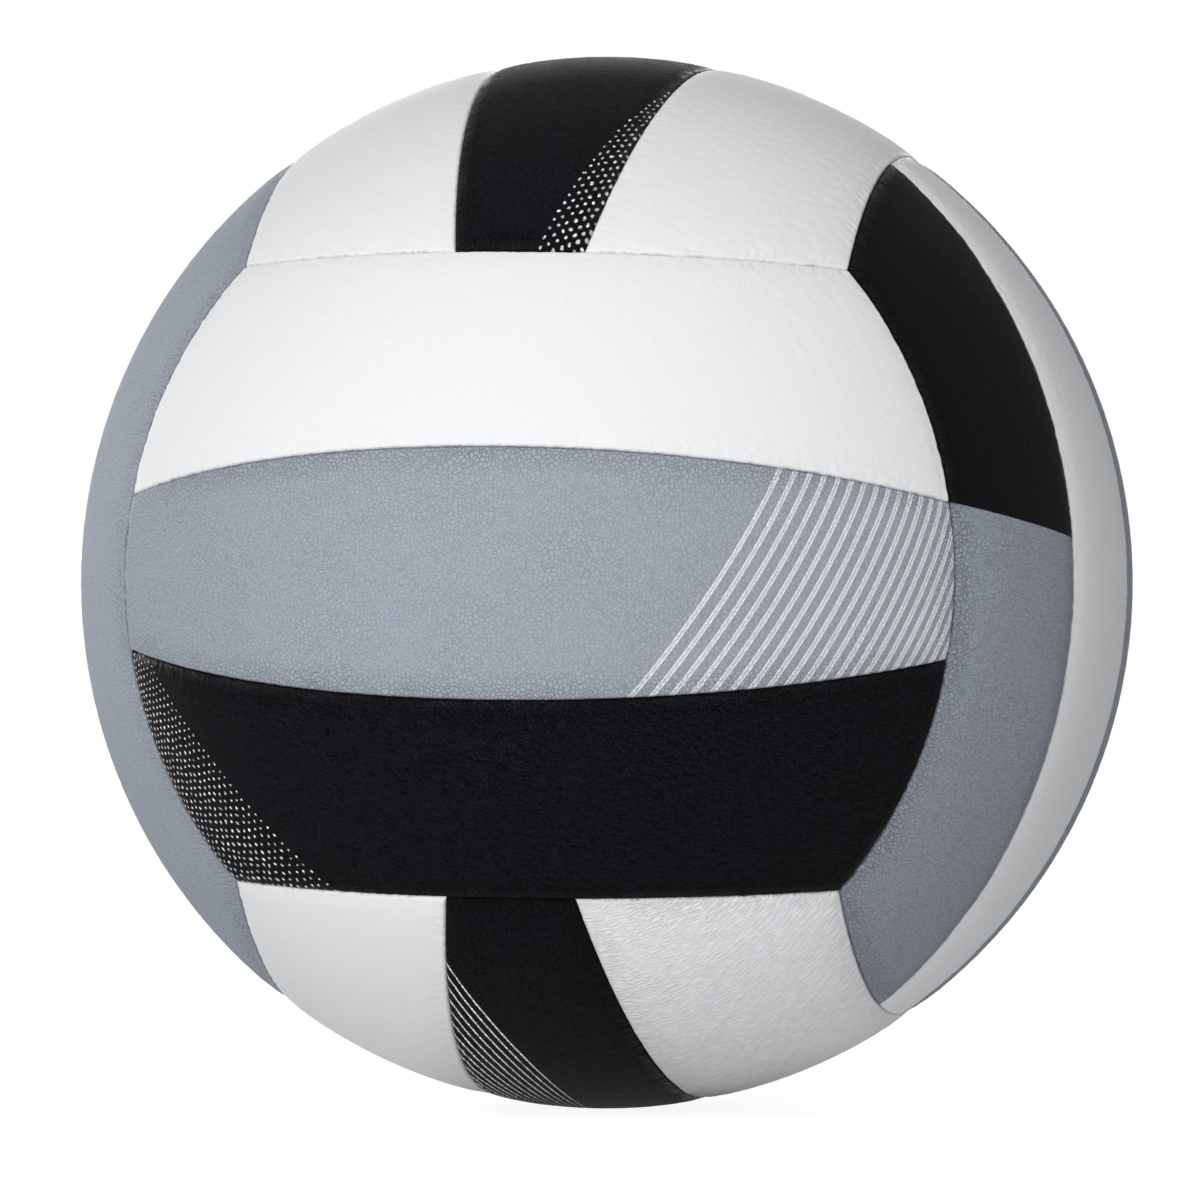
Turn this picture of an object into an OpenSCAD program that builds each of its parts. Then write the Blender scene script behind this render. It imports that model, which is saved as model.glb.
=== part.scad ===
// Indoor volleyball, size 5, built in layers from the outside in: a sewn cover
// of eighteen leather panels with turned-in edges, a foam backing in each panel,
// lockstitch thread, a thread-wound bladder and a needle valve.
// The origin is the centre of the ball, +Z is up and -Y is the front.

/* [Ball] */
// Diameter of the inflated ball
ball_d = 210; // [195:1:220]

/* [Cover layout, in degrees seen from the centre] */
// Width of the three panels of the front group, and of the back group
front_group_angle = 73.6; // [68:0.1:80]
// Width of the three panels of the top group, and of the bottom group
top_group_angle = 70.6; // [68:0.1:80]
// Width of the three panels of the left group, and of the right group
side_group_angle = 75.1; // [68:0.1:80]
// Width of the middle panel of the front and back groups
front_middle_angle = 27; // [18:0.1:34]
// Width of the middle panel of the top and bottom groups
top_middle_angle = 23.2; // [18:0.1:34]
// Width of the middle panel of the left and right groups
side_middle_angle = 20.4; // [18:0.1:34]
// How far that middle panel is turned to one side of its group's middle
side_middle_turn = 6; // [0:0.1:7]

/* [Cover panels] */
// Thickness of the synthetic leather
skin_t = 1.1; // [0.8:0.1:1.6]
// Thickness of the foam backing, and depth of the turned-in edge beside it
foam_t = 3; // [2:0.25:5]
// Gap between the turned-in edges of two neighbouring panels
seam_gap = 0.1; // [0.05:0.05:0.3]
// Width of the valley along a seam
valley_w = 4; // [3:0.2:6]
// Depth of the valley
valley_depth = 1.3; // [0.8:0.1:1.8]
// Width of the valley's steep inner part
knee_w = 1.6; // [1:0.1:2.4]
// Depth at which the steep part begins
knee_depth = 0.4; // [0.2:0.05:0.6]
// Diameter of the lockstitch thread
thread_d = 0.6; // [0.4:0.1:0.8]

/* [Bladder] */
// Thickness of the wound nylon thread round the bladder
winding_t = 0.5; // [0.3:0.1:1]
// Thickness of the butyl bladder
bladder_t = 0.8; // [0.5:0.1:1.5]
// Gap between two layers that lie on each other
layer_gap = 0.1; // [0.05:0.05:0.2]

/* [Valve] */
// Diameter of the rubber face that shows in the cover
valve_face_d = 5.8; // [5.2:0.1:8]
// Depth of that face below the surface of the cover
valve_recess = 0.5; // [0.2:0.1:1]
// Diameter of the valve's stem
stem_d = 9; // [8.4:0.2:12]
// Depth to which the stem reaches into the bladder
stem_depth = 15; // [12:1:20]
// Diameter of the flange that is bonded inside the bladder
flange_d = 28; // [20:1:36]
// Thickness of that flange
flange_t = 1; // [0.6:0.1:1.5]
// Diameter of the soft rubber core
core_d = 4; // [3.6:0.1:4.4]
// Diameter of the collar that locks the core in its stem
core_collar_d = 5.6; // [5:0.1:6.2]
// Diameter of the needle's guide hole
needle_d = 2.1; // [1.8:0.1:2.4]
// Length of the needle's guide hole
needle_l = 10; // [6:0.5:12]
// Diameter of the patch that reinforces the cover round the valve
patch_d = 24; // [18:1:30]
// Thickness of the patch
patch_t = 0.8; // [0.5:0.1:1.2]
// Running clearance round the core, the stem and the valve's face
valve_clearance = 0.15; // [0.1:0.05:0.3]

/* [Hidden] */
$fn = 128;
SMALL_FN = 40;
WHITE = "#efeff1";
GREY = "#98a2ac";
BLACK = "#1b1b1e";
FOAM = "#e9e4d2";
COTTON = "#f4f4f0";
NYLON = "#d8cfa6";
BUTYL = "#2b2b2d";
RUBBER = "#3b3b3d";

ball_r = ball_d / 2;
foam_r = ball_r - skin_t;
lining_r = foam_r - foam_t;
winding_r = lining_r - layer_gap;
bladder_r = winding_r - winding_t - layer_gap;
flange_r = bladder_r - bladder_t - layer_gap;
thread_r = foam_r - foam_t / 2;

// Lengths that only help the cuts, all in step with the ball
overrun = skin_t;
far = ball_d;

// Insets from the middle of a seam
wall_inset = seam_gap / 2;
pocket_inset = wall_inset + skin_t;
thread_inset = pocket_inset + layer_gap + thread_d / 2;
foam_inset = pocket_inset + 2 * layer_gap + thread_d;

// The cover is laid out as on a cube: six groups of three panels, each group
// with its panels at right angles to those of its neighbours. The groups meet
// three at a time in the directions of the cube's corners.
corner = 1 / sqrt(3);

// Angle that stands for a group's own two edges, well beyond any such edge
outer_edge = 80;

// Angle that a width along the surface takes up, seen from the centre
function arc(w) = w / ball_r * 180 / PI;

// Edges of a middle panel with the given width, turned to one side
function middle_edges(width, turn) = [turn - width / 2, turn + width / 2];

// Rows: half width, half width of the groups at its ends, edges of the middle
// panel. Then: name, row, names of the panels and their colours, from -W to +W.
FRONT = [front_group_angle / 2, side_group_angle / 2, middle_edges(front_middle_angle, 0)];
TOP = [top_group_angle / 2, front_group_angle / 2, middle_edges(top_middle_angle, 0)];
SIDE = [side_group_angle / 2, top_group_angle / 2, middle_edges(side_middle_angle, side_middle_turn)];
GROUPS = [
    ["front", FRONT, ["lower", "middle", "upper"], [BLACK, GREY, WHITE]],
    ["back", FRONT, ["lower", "middle", "upper"], [BLACK, GREY, WHITE]],
    ["top", TOP, ["right", "middle", "left"], [WHITE, BLACK, WHITE]],
    ["bottom", TOP, ["right", "middle", "left"], [WHITE, BLACK, WHITE]],
    ["right", SIDE, ["rear", "middle", "front"], [GREY, WHITE, BLACK]],
    ["left", SIDE, ["front", "middle", "rear"], [GREY, WHITE, BLACK]],
];
BACK = 1;
MIDDLE = 1;

function panel_name(g, s) = str(GROUPS[g][0], "_", GROUPS[g][2][s]);
function cover_name(g, s) = str("cover_", panel_name(g, s));
function foam_name(g, s) = str("foam_", panel_name(g, s));

function half_width(g) = GROUPS[g][1][0];
function end_half_width(g) = GROUPS[g][1][1];
function edges(g) = [-outer_edge, GROUPS[g][1][2][0], GROUPS[g][1][2][1], outer_edge];

// A seam between two groups is part of a circle about an axis through the
// ball's centre. The axis leans by tilt from the middle of the group that ends
// there, away from the neighbour, so that three such circles meet at a corner.
// Seen from the centre, the circle's radius is the angle that cone gives.
function tilt(half) = atan((corner - sin(half)) / (corner - cos(half)));
function cone(half) = 90 - half + tilt(half);

// Angle from the middle of a group to where the seam at angle a ends
function seam_end(a, half) =
    acos(cos(cone(half)) / norm([cos(tilt(half)) * cos(a), sin(tilt(half))]))
    - atan2(sin(tilt(half)), cos(tilt(half)) * cos(a));

// Angle about an end seam's axis of the point where edge a meets that seam
function end_angle(a, half) =
    abs(a) == outer_edge
        ? sign(a) * asin(corner / sin(cone(half)))
        : asin(cos(seam_end(a, half)) * sin(a) / sin(cone(half)));

// Puts a group's own frame in place: its middle is +Z there, its panels run
// along X and lie side by side along Y
module place(g) {
    if (g == 0) rotate([90, 0, 0]) children();
    if (g == 1) rotate([90, 0, 180]) children();
    if (g == 2) rotate([0, 0, 90]) children();
    if (g == 3) rotate([180, 0, 0]) rotate([0, 0, 90]) children();
    if (g == 4) rotate(180, [1, 0, 1]) children();
    if (g == 5) rotate([0, 0, 180]) rotate(180, [1, 0, 1]) children();
}

// Turns +Z to the axis of the seam at an end of a group, +X (1) or -X (-1)
module at_end(g, end) {
    mirror([end < 0 ? 1 : 0, 0, 0]) rotate([0, -tilt(end_half_width(g)), 0]) children();
}

// Turns +Z to the axis of the seam at edge e of a group. The outer edges are
// seams between groups, and the inner ones lie in planes through the centre.
module at_edge(g, e) {
    lean = is_outer(e) ? tilt(half_width(g)) : edges(g)[e];
    mirror([0, e == 0 ? 1 : 0, 0]) rotate([-90 - lean, 0, 0]) children();
}
function is_outer(e) = e == 0 || e == 3;
function end_cone(g) = cone(end_half_width(g));
function edge_cone(g, e) = is_outer(e) ? cone(half_width(g)) : 90;

// A panel lies inside (1) or outside (-1) the circle of the seam at its edge e
function edge_side(s, e) = e == s && e > 0 ? 1 : -1;

// A hollow ball, turned so that its poles lie outside the group
module shell(r_out, r_in) {
    rotate([90, 0, 0])
    difference() {
        sphere(r_out);
        sphere(r_in);
    }
}

// All between two planes through X at angles a and b from Z, less the inset
module wedge(a, b, inset) {
    tip = inset / sin((b - a) / 2) * [sin((a + b) / 2), cos((a + b) / 2)];
    rotate([90, 0, 90])
    linear_extrude(height = far, center = true)
    polygon([tip, tip + far * [sin(a), cos(a)], tip + far * [sin(b), cos(b)]]);
}

// The wall at a seam between groups is part of a great sphere about a point of
// the seam's axis, so that it crosses the cover at right angles all along
module wall_sphere(angle, grow) {
    translate([0, 0, ball_r / cos(angle)])
    rotate([0, 0, 180])
    sphere(ball_r * tan(angle) + grow);
}

// A curved block with a panel's outline, drawn in from the seams by the inset
module panel_block(g, s, r_out, r_in, inset) {
    difference() {
        intersection() {
            shell(r_out, r_in);
            wedge(edges(g)[s], edges(g)[s + 1], inset);
            at_end(g, 1) wall_sphere(end_cone(g), -inset);
            at_end(g, -1) wall_sphere(end_cone(g), -inset);
        }
        for (e = [s, s + 1]) {
            if (is_outer(e)) at_edge(g, e) wall_sphere(edge_cone(g, e), inset);
        }
    }
}

// One step of a panel's soft edge at a seam whose circle has the given angle:
// the steep step (0) beside the seam or the gentle step (1) beyond it. It is
// part of a sphere about a point of the seam's axis, through the two circles
// at which the step begins and ends.
module soft_step(angle, side, step) {
    widths = side * [0, knee_w / 2, valley_w / 2];
    depths = [valley_depth, knee_depth, 0];
    r_low = ball_r - depths[step];
    r_high = ball_r - depths[step + 1];
    h_low = r_low * cos(angle - arc(widths[step]));
    h_high = r_high * cos(angle - arc(widths[step + 1]));
    h = (r_high * r_high - r_low * r_low) / (2 * (h_high - h_low));
    translate([0, 0, h])
    rotate([0, 0, 180])
    sphere(sqrt(r_low * r_low - 2 * h * h_low + h * h));
}

// Synthetic leather panel, open underneath, with its edges turned in all round
module cover(g, s) {
    color(GROUPS[g][3][s])
    place(g)
    difference() {
        intersection() {
            panel_block(g, s, ball_r, lining_r, wall_inset);
            at_end(g, 1) soft_step(end_cone(g), 1, 0);
            at_end(g, 1) soft_step(end_cone(g), 1, 1);
            at_end(g, -1) soft_step(end_cone(g), 1, 0);
            at_end(g, -1) soft_step(end_cone(g), 1, 1);
            at_edge(g, s) soft_step(edge_cone(g, s), edge_side(s, s), 0);
            at_edge(g, s) soft_step(edge_cone(g, s), edge_side(s, s), 1);
            at_edge(g, s + 1) soft_step(edge_cone(g, s + 1), edge_side(s, s + 1), 0);
            at_edge(g, s + 1) soft_step(edge_cone(g, s + 1), edge_side(s, s + 1), 1);
        }
        panel_block(g, s, foam_r, lining_r - overrun, pocket_inset);
        if (g == BACK && s == MIDDLE) valve_hole(valve_face_d);
    }
}

// Foam backing, which fills the panel between its turned-in edges
module foam(g, s) {
    color(FOAM)
    place(g)
    difference() {
        panel_block(g, s, foam_r - layer_gap, lining_r, foam_inset);
        if (g == BACK && s == MIDDLE) {
            valve_hole(stem_d);
            patch_solid(valve_clearance);
        }
    }
}

// One run of thread about a seam's axis, from angle a to angle b, stopping
// short of the runs that it meets at its ends
module thread_run(angle, a, b) {
    margin = arc(2 * thread_inset + thread_d) / sin(angle);
    rotate([0, 0, a + margin])
    rotate_extrude(angle = b - a - 2 * margin)
    rotate(-angle) translate([0, thread_r]) circle(d = thread_d, $fn = SMALL_FN);
}

// The thread inside one panel, along its four turned-in edges
module panel_thread(g, s) {
    for (end = [-1, 1]) {
        at_end(g, end)
        thread_run(end_cone(g) - arc(thread_inset),
                   end_angle(edges(g)[s], end_half_width(g)),
                   end_angle(edges(g)[s + 1], end_half_width(g)));
    }
    for (e = [s, s + 1]) {
        reach = is_outer(e)
            ? asin(corner / sin(edge_cone(g, e)))
            : seam_end(edges(g)[e], end_half_width(g));
        at_edge(g, e)
        thread_run(edge_cone(g, e) - edge_side(s, e) * arc(thread_inset), -90 - reach, reach - 90);
    }
}

// Lockstitch thread on the inner side of every turned-in edge
module seam_thread() {
    color(COTTON)
    for (g = [0 : 5]) for (s = [0 : 2]) place(g) panel_thread(g, s);
}

// Nylon thread wound round the bladder and set in latex
module winding() {
    color(NYLON)
    place(BACK)
    difference() {
        shell(winding_r, winding_r - winding_t);
        valve_hole(stem_d);
    }
}

// Butyl bladder, open where the valve's stem passes
module bladder() {
    color(BUTYL)
    place(BACK)
    difference() {
        shell(bladder_r, bladder_r - bladder_t);
        valve_hole(stem_d);
    }
}

// Clearance hole for a part of the valve with diameter d, along +Z
module valve_hole(d) {
    translate([0, 0, flange_r])
    cylinder(h = ball_r - flange_r + overrun, d = d + 2 * valve_clearance);
}

// Section of a cap that follows the ball, between two radii
module cap_section(r_out, r_in, r_edge) {
    intersection() {
        difference() {
            circle(r_out);
            circle(r_in);
        }
        square([r_edge, r_out]);
    }
}

// Section of the core, with grow added all round for its seat in the stem
module core_section(grow) {
    core_r = core_d / 2 + grow;
    collar_r = core_collar_d / 2 + grow;
    slope = collar_r - core_r;
    top = ball_r - valve_recess;
    collar_top = top - needle_l - flange_t;
    collar_bottom = collar_top - 2 * flange_t - slope;
    polygon([
        [0, core_bottom() - grow],
        [core_r, core_bottom() - grow],
        [core_r, collar_bottom],
        [collar_r, collar_bottom],
        [collar_r, collar_top - slope],
        [core_r, collar_top],
        [core_r, top + (grow > 0 ? overrun : 0)],
        [0, top + (grow > 0 ? overrun : 0)],
    ]);
}

function core_bottom() = flange_r - stem_depth + flange_t + valve_clearance;

// Rubber stem: its face shows in the cover, its flange is bonded in the bladder
module valve_stem() {
    stem_top = foam_r - layer_gap;
    stem_bottom = flange_r - stem_depth;
    color(RUBBER)
    place(BACK)
    rotate_extrude()
    difference() {
        union() {
            translate([0, stem_bottom]) square([stem_d / 2, stem_top - stem_bottom]);
            translate([0, stem_bottom]) square([valve_face_d / 2, ball_r - valve_recess - stem_bottom]);
            cap_section(flange_r, flange_r - flange_t, flange_d / 2);
        }
        core_section(valve_clearance);
    }
}

// Soft rubber core with the needle's guide hole; below the hole it seals
module valve_core() {
    top = ball_r - valve_recess;
    color(BUTYL)
    place(BACK)
    difference() {
        rotate_extrude() core_section(0);
        translate([0, 0, top - needle_l]) cylinder(h = needle_l + overrun, d = needle_d);
    }
}

// Disc that follows the ball, let into the foam round the stem
module patch_solid(grow) {
    rotate_extrude()
    cap_section(lining_r + patch_t + grow, lining_r - (grow > 0 ? overrun : 0), patch_d / 2 + grow);
}

// Cloth patch that reinforces the cover round the valve
module valve_patch() {
    color(COTTON)
    place(BACK)
    difference() {
        patch_solid(0);
        valve_hole(stem_d);
    }
}

for (g = [0 : 5]) for (s = [0 : 2]) {
    cover(g, s);
    foam(g, s);
}
seam_thread();
winding();
bladder();
valve_stem();
valve_core();
valve_patch();
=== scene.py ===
"""Indoor volleyball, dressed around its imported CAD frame.

Lengths are in metres, unless a name ends in _mm. Angles are in radians, unless a name ends in _deg.
A group's own frame has its middle at +Z, its panels along X, and lies them side by side along Y.
There a direction is given by two angles: across, about X from Z, and along, from the YZ plane to X.
"""

import bpy
import numpy as np
from mathutils import Matrix, Vector


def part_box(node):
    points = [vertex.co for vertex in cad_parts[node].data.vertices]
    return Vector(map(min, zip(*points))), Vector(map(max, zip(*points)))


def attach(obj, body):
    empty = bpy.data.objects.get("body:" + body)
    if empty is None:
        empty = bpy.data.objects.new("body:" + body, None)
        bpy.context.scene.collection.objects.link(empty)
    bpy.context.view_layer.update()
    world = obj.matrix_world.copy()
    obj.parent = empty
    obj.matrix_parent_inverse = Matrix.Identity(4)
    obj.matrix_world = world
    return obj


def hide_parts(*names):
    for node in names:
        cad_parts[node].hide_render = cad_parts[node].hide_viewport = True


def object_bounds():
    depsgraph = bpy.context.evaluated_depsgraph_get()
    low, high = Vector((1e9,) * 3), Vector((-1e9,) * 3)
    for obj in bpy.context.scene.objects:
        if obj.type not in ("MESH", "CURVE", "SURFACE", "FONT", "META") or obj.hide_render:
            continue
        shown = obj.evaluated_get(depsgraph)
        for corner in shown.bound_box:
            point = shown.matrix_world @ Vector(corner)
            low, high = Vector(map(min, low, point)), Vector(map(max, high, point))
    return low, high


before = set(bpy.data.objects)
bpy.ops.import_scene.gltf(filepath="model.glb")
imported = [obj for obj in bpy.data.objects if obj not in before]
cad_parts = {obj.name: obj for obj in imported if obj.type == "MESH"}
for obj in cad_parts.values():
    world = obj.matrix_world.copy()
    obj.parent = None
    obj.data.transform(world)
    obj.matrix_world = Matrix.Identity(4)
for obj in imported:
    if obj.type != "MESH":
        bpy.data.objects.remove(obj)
cad_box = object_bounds()

MM = 0.001
BALL_R = -cad_box[0].y       # the CAD reaches its full radius on this side
LAYER_GAP = 0.1 * MM
LINING_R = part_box("winding")[1].x + LAYER_GAP
MM_PER_DEG = np.radians(1) * BALL_R / MM
CUBE_CORNER = np.sqrt(1 / 3)        # each coordinate of a cube's corner on a ball of radius 1

# The cover, as it is cut and sewn

SKIN_T = 1.1 * MM
SEAM_GAP = 0.04 * MM        # the leather is soft, so its edges press almost shut
FRONT_HALF_DEG, FRONT_MIDDLE_DEG = 36.8, (-13.5, 13.5)
TOP_HALF_DEG, TOP_MIDDLE_DEG = 35.3, (-11.6, 11.6)
SIDE_HALF_DEG, SIDE_MIDDLE_DEG = 37.55, (-4.2, 16.2)

EDGE_ROUND_MM = 0.65        # radius of a panel's rounded edge
SWELL_MM = 0.5              # how far a panel swells above its seams
SIDE_SWELL_MM = 0.95        # the same beside the side groups' inner seams, which are pulled tighter
SWELL_REACH_MM = 2.8        # distance over which it rises
SWELL_UNEVEN, SWELL_WANDER_MM = 0.06, 14    # the share of it that comes and goes along the seam
JOINING_POWER = 3           # of the norm that joins the valleys where seams meet

STITCH_MM = 2.0             # stitch pitch
STITCH_DRIFT, STITCH_WANDER_MM = 0.22, 6    # how far the stitches stray, in pitches
PUCKER_MM = 0.2             # depth of the puckers that the stitches pull
PUCKER_MEAN, PUCKER_UNEVEN, PUCKER_WANDER_MM = 0.6, 0.5, 9  # mean share of it, and how that varies
PUCKER_SHARES = (0.1, 1.3)  # the least and the greatest share of it
PUCKER_AT_MM, PUCKER_HALF_MM = 1.4, 0.8     # a pucker's middle and half width, away from the seam
FOOT_SHARE, FOOT_HALF_MM = 0.5, 0.45        # the same pull at the seam itself
WRINKLE_MM, SEAM_WRINKLE_MM = 0.012, 0.03   # height of the wrinkles, and what is added at a seam
WRINKLE_REACH_MM = 3.5
WRINKLE_WAVES, WRINKLE_LENGTHS_MM = 40, (1.8, 3.8)
WANDER_WAVES, WANDER_LENGTHS = 7, (0.6, 2.0)    # the lengths are shares of a wandering line's reach

EDGE_ROWS_MM = (0, 0.05, 0.12, 0.22, 0.36, 0.55, 0.8, 1.1, 1.45, 1.85, 2.3, 2.9, 3.6, 4.5)
ROWS_ALONG, ROWS_ACROSS = 361, 113
LINING_STEP = 4             # the hidden side has every fourth row
WALL_SHARES = (0.35, 0.7, 1)        # rows of a turned-in edge, as shares of its depth
GRID_PASSES = 14            # repetitions after which both angles of a grid stand still
GROUP_SEEDS, STRIP_SEEDS, SEAM_SEEDS = 100, 1000, 10    # steps between the random seeds

VALVE_PANEL, VALVE_HOLE_MM = "back_middle", 3.05
HOLE_ROWS = 8               # rows from the hole's middle to its edge
HOLE_BLEND = 3              # where the rows are back at their own places, in hole radii
HOLE_LIP_MM = 0.35          # the lip's width
HOLE_RINGS_MM = ((0.18, 0.04), (0.06, 0.14), (0, 0.36), (0, 1.1))   # beyond the radius, and depth
HOLE_LEDGE_MM = 0.9
TINY = 1e-9                 # keeps a division by a length away from 0


def turn(x_deg=0.0, z_deg=0.0):
    """A turn about X, then one about Z."""
    return Matrix.Rotation(np.radians(z_deg), 3, "Z") @ Matrix.Rotation(np.radians(x_deg), 3, "X")


SWAP = Matrix.Rotation(np.pi, 3, Vector((1, 0, 1)))
UPWARDS, TO_THE_LEFT = ("lower", "middle", "upper"), ("right", "middle", "left")
GROUPS = {      # its frame, half its width, half the width of the groups at its ends, where its
                # inner seams lie, and the names of its panels
    "front": (turn(90), FRONT_HALF_DEG, SIDE_HALF_DEG, FRONT_MIDDLE_DEG, UPWARDS),
    "back": (turn(90, 180), FRONT_HALF_DEG, SIDE_HALF_DEG, FRONT_MIDDLE_DEG, UPWARDS),
    "top": (turn(0, 90), TOP_HALF_DEG, FRONT_HALF_DEG, TOP_MIDDLE_DEG, TO_THE_LEFT),
    "bottom": (turn(180) @ turn(0, 90), TOP_HALF_DEG, FRONT_HALF_DEG, TOP_MIDDLE_DEG, TO_THE_LEFT),
    "right": (SWAP, SIDE_HALF_DEG, TOP_HALF_DEG, SIDE_MIDDLE_DEG, ("rear", "middle", "front")),
    "left": (turn(0, 180) @ SWAP, SIDE_HALF_DEG, TOP_HALF_DEG, SIDE_MIDDLE_DEG,
             ("front", "middle", "rear")),
}


def lean_of(half):
    """Lean of the axis of a seam between groups: three such circles meet in a cube's corner.

    tan(lean) = (c - sin(half)) / (c - cos(half)), where c is the corner's coordinate, 1 / sqrt(3).
    """
    return np.arctan((CUBE_CORNER - np.sin(half)) / (CUBE_CORNER - np.cos(half)))


class Panel:
    """Outline of one panel, in its group's frame, and distances from its four seams."""

    def __init__(self, group, strip):
        matrix, half, end_half, middle, names = GROUPS[group]
        self.name = f"{group}_{names[strip]}"
        self.matrix = np.array(matrix)
        self.strip = strip
        self.tight = group in ("right", "left")
        self.half = np.radians(half)
        self.lean = lean_of(self.half)
        self.end_lean = lean_of(np.radians(end_half))
        self.cone = np.pi / 2 - np.radians(end_half) + self.end_lean
        self.inner = np.radians(middle)

    def edge(self, e, along, inset):
        """Angle across of edge e: lean + asin(sin(half - lean) / cos(along)) on a group's own edge,
        and constant on the edges inside a group, both drawn in by the inset."""
        if e in (0, 3):
            reach = np.arcsin(np.sin(self.half - self.lean - inset) / np.cos(along))
            return (self.lean + reach) * (1 if e == 3 else -1)
        inward = inset if e == self.strip else -inset
        return self.inner[e - 1] + np.arcsin(np.sin(inward) / np.cos(along))

    def end(self, across, inset):
        """Angle along at which the strip ends: where its direction lies at the angle cone from the
        end seam's axis."""
        x = np.cos(self.end_lean) * np.cos(across)
        z = np.sin(self.end_lean)
        return np.arccos(np.cos(self.cone - inset) / np.hypot(x, z)) - np.arctan2(z, x)

    def grid(self, u, v, inset):
        """Angles (across, along) of a grid, with u from 0 to 1 across and v from -1 to 1 along.
        Each limit depends on the other angle, so both are found by repetition from a cube's
        corner."""
        u, v = u[None, :], v[:, None]
        along = np.arcsin(CUBE_CORNER) * v + 0 * u
        for _ in range(GRID_PASSES):
            low, high = self.edge(self.strip, along, inset), self.edge(self.strip + 1, along, inset)
            across = low + (high - low) * u
            along = v * self.end(across, inset)
        return across, along

    def seam_distances(self, across, along):
        """Distances in mm from the seams at the two edges and the two ends: the angle from the
        seam's axis, less the seam circle's own angle, times the ball's radius."""
        distances = []
        for e in (self.strip, self.strip + 1):
            if e in (0, 3):
                sign = 1 if e == 3 else -1
                angle = self.half - self.lean - np.arcsin(
                    np.cos(along) * np.sin(sign * across - self.lean))
            else:
                sign = 1 if e == self.strip else -1
                angle = sign * np.arcsin(np.cos(along) * np.sin(across - self.inner[e - 1]))
            distances.append(angle)
        for sign in (-1, 1):
            dot = (np.cos(along) * np.cos(across) * np.cos(self.end_lean)
                   - sign * np.sin(along) * np.sin(self.end_lean))
            distances.append(self.cone - np.arccos(np.clip(dot, -1, 1)))
        return np.maximum(np.array(distances), 0) * BALL_R / MM


def graded(count, length_mm):
    """Shares from 0 to 1: close rows beside both ends, as EDGE_ROWS_MM gives, and even ones
    between."""
    start = np.array(EDGE_ROWS_MM) / length_mm
    middle = np.linspace(start[-1], 1 - start[-1], count - 2 * len(start) + 2)[1:-1]
    return np.concatenate([start, middle, 1 - start[::-1]])


def wander(s, seed, reach_mm):
    """Smooth random line between about -1 and 1: a sum of sines with lengths round reach_mm."""
    rng = np.random.default_rng(seed)
    lengths = reach_mm * rng.uniform(*WANDER_LENGTHS, WANDER_WAVES)
    phases = rng.uniform(0, 2 * np.pi, WANDER_WAVES)
    total = sum(np.sin(2 * np.pi * s / length + phase) for length, phase in zip(lengths, phases))
    return total / np.sqrt(WANDER_WAVES)


def wrinkles(points_mm, seed):
    """Uneven field of about unit height: a sum of plane waves of random length and direction."""
    rng = np.random.default_rng(seed)
    ways = rng.normal(size=(WRINKLE_WAVES, 3))
    ways /= (np.linalg.norm(ways, axis=1, keepdims=True)
             * rng.uniform(*WRINKLE_LENGTHS_MM, (WRINKLE_WAVES, 1)))
    phases = rng.uniform(0, 2 * np.pi, WRINKLE_WAVES)
    total = sum(np.cos(2 * np.pi * (points_mm @ way) + phase) for way, phase in zip(ways, phases))
    return total / np.sqrt(WRINKLE_WAVES / 2)


def seam_depth(d, s, seed, swell_mm):
    """Depth of the surface at distance d from a seam, at place s along it, all in mm.

    A quarter round: r - sqrt(r^2 - (r - d)^2). A swell: exp(-d / reach). Then the pull of the
    stitches: a bell over d, times a cosine over s whose phase and height wander.
    """
    q = np.clip(1 - d / EDGE_ROUND_MM, 0, 1)
    depth = EDGE_ROUND_MM * (1 - np.sqrt(1 - q * q))
    swell = swell_mm * np.exp(-d / SWELL_REACH_MM)
    depth = depth + swell * (1 + SWELL_UNEVEN * wander(s, seed, SWELL_WANDER_MM))
    drift = STITCH_DRIFT * wander(s, seed + 1, STITCH_WANDER_MM)
    wave = np.cos(2 * np.pi * (s / STITCH_MM + drift))
    height = PUCKER_MEAN + PUCKER_UNEVEN * wander(s, seed + 2, PUCKER_WANDER_MM)
    height = np.clip(height, *PUCKER_SHARES)
    bell = (np.exp(-((d - PUCKER_AT_MM) / PUCKER_HALF_MM) ** 2)
            + FOOT_SHARE * np.exp(-(d / FOOT_HALF_MM) ** 2))
    return depth + PUCKER_MM * height * bell * (0.5 + 0.5 * wave) ** 2


def directions(across, along):
    """Unit vectors of the angles: (sin(along), cos(along) sin(across), cos(along) cos(across))."""
    return np.stack([np.sin(along), np.cos(along) * np.sin(across),
                     np.cos(along) * np.cos(across)], -1)


def ring_of(shape, low=(0, 0), size=None):
    """Indices of the border points of a grid, or of a square block in it, anticlockwise as seen
    from outside the ball."""
    index = np.arange(shape[0] * shape[1]).reshape(shape[:2])
    if size:
        index = index[low[0]:low[0] + size, low[1]:low[1] + size]
    return np.concatenate([index[:-1, 0], index[-1, :-1], index[:0:-1, -1], index[0, :0:-1]])


def grid_faces(gone, start):
    """Quads of a grid whose points start at the given index, without those that touch a gone
    point."""
    i = (start + np.arange(gone.size)).reshape(gone.shape)
    quads = np.stack([i[:-1, :-1], i[1:, :-1], i[1:, 1:], i[:-1, 1:]], -1).reshape(-1, 4)
    return quads[~gone.ravel()[quads - start].any(axis=1)]


def ring_faces(a, b):
    """Quads between two rings of as many points."""
    return np.stack([a, b, np.roll(b, -1), np.roll(a, -1)], -1)


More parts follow.
